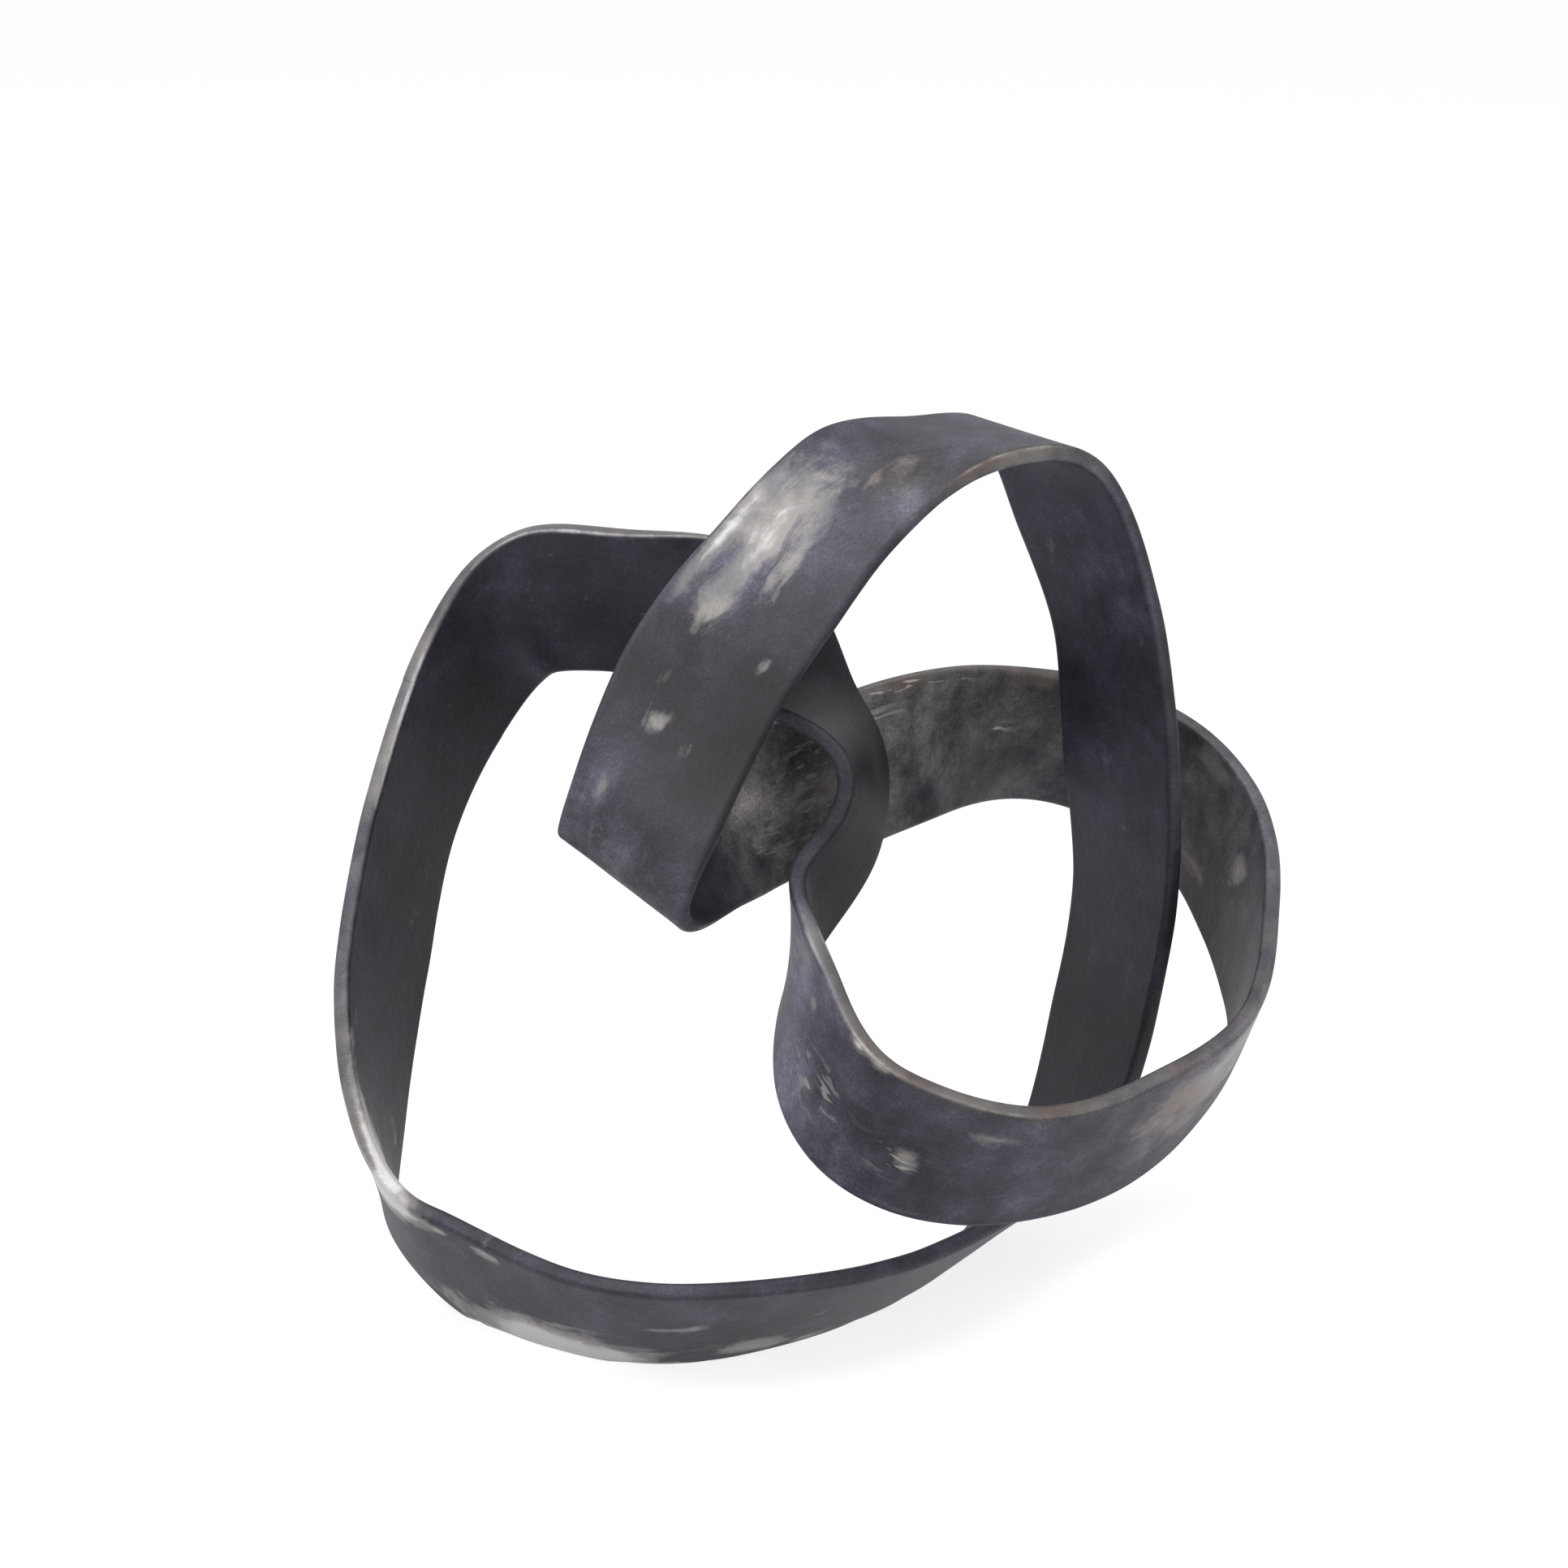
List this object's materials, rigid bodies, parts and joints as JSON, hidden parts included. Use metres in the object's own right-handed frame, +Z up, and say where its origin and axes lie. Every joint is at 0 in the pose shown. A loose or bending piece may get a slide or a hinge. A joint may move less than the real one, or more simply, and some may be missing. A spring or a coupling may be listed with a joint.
{
  "type": "metal knot sculpture",
  "caption": "Free-standing tabletop sculpture: a closed band of flat dark metal strap tied into an open knot of loops, standing on a ground flat on its lower rim.",
  "frame": {"origin": "centre of the knot's footprint box, on the surface it stands on", "axes": "+X to the right across the three loops as the picture shows them, +Y away from the viewer, +Z up"},
  "size_m": [0.1938, 0.1333, 0.1781],
  "materials": {
    "strap": "blue-black patina, rubbed to bare metal on rims and in patches",
    "weld": "ground weld, patinated with the strap"
  },
  "bodies": {
    "root": {"side_strap": "strap", "base_strap": "strap", "riser_strap": "strap", "crown_strap": "strap", "front_strap": "strap", "back_strap": "strap", "ring_strap": "strap", "neck_strap": "strap", "top_strap": "strap", "top_side_seam": "weld", "side_base_seam": "weld", "base_riser_seam": "weld", "riser_crown_seam": "weld", "crown_front_seam": "weld", "front_back_seam": "weld", "back_ring_seam": "weld", "ring_neck_seam": "weld", "neck_top_seam": "weld"}
  },
  "joints": []
}
